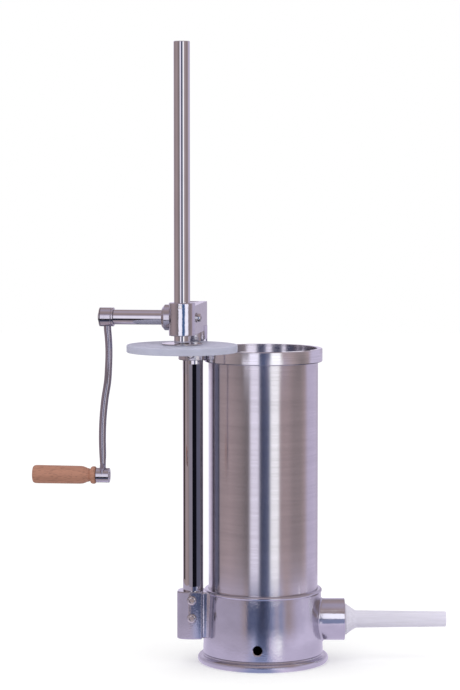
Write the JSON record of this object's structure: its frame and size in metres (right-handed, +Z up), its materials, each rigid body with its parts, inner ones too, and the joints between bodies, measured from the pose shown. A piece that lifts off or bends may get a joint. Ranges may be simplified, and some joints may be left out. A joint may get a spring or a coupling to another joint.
{
  "type": "sausage stuffer",
  "caption": "Upright hand-cranked sausage stuffer: steel cylinder on a cast base with side outlet, and a rack press with piston on a swinging head.",
  "frame": {"origin": "centre of the bounding box at rest, on the surface that the base stands on", "axes": "+Z up along the cylinder, +X towards the outlet nozzle, -Y towards the side that the screws of the post's lug face"},
  "size_m": [0.526, 0.2584, 0.7885],
  "materials": {
    "cast_aluminium": "cast, turned and polished to a satin sheen",
    "turned_aluminium": "turned, fine rings",
    "brushed_steel": "brushed round the cylinder",
    "chrome": "polished",
    "bright_steel": "bright",
    "bronze": "machined",
    "white_plastic": "satin",
    "milky_plastic": "translucent, satin",
    "rubber": "matt",
    "beech": "turned, oiled"
  },
  "bodies": {
    "base": {"base_casting": "cast_aluminium", "cylinder_tube": "brushed_steel", "rim_band": "brushed_steel", "cylinder_seal": "rubber", "nozzle": "milky_plastic", "nozzle_gasket": "rubber", "post": "chrome", "lug_screw_upper": "bright_steel", "lug_screw_lower": "bright_steel", "stop_collar": "turned_aluminium", "collar_screw": "bright_steel", "swivel_washer": "bright_steel", "post_top_washer": "bright_steel", "post_top_screw": "bright_steel"},
    "head": {"head_block": "cast_aluminium", "swivel_bush": "bronze", "shaft_bush": "turned_aluminium", "rod_guide_screw": "bright_steel"},
    "crank": {"pinion_shaft": "chrome", "shaft_end_washer": "bright_steel", "shaft_end_screw": "bright_steel", "crank_hub": "turned_aluminium", "hub_washer": "bright_steel", "hub_screw": "bright_steel", "crank_arm": "chrome", "grip_hub": "turned_aluminium", "grip_pin": "bright_steel"},
    "grip": {"wooden_grip": "beech"},
    "rod": {"rack_rod": "chrome", "piston_washer": "bright_steel", "piston_disc": "white_plastic", "piston_screw": "bright_steel"}
  },
  "joints": [
    {"name": "arm_swing", "type": "hinge", "parent": "base", "child": "head", "pos_m": [-0.06192, 0.0296, 0.4285], "axis": [0, 0, 1], "range_deg": [-75, 107.6]},
    {"name": "crank_turn", "type": "hinge", "parent": "head", "child": "crank", "pos_m": [-0.07179, -0.04435, 0.4486], "axis": [0.9912, -0.1323, 0], "range_deg": [-45.8, 1833.4]},
    {"name": "rod_slide", "type": "slide", "parent": "head", "child": "rod", "axis": [0, 0, -1], "range_m": [-0.008, 0.32]},
    {"name": "grip_spin", "type": "hinge", "parent": "crank", "child": "grip", "pos_m": [-0.18236, -0.02959, 0.2501], "axis": [-0.9912, 0.1323, 0], "continuous": true}
  ],
  "couplings": [
    {"joint": "rod_slide", "follows": "crank_turn", "m_per_rad": 0.01}
  ]
}
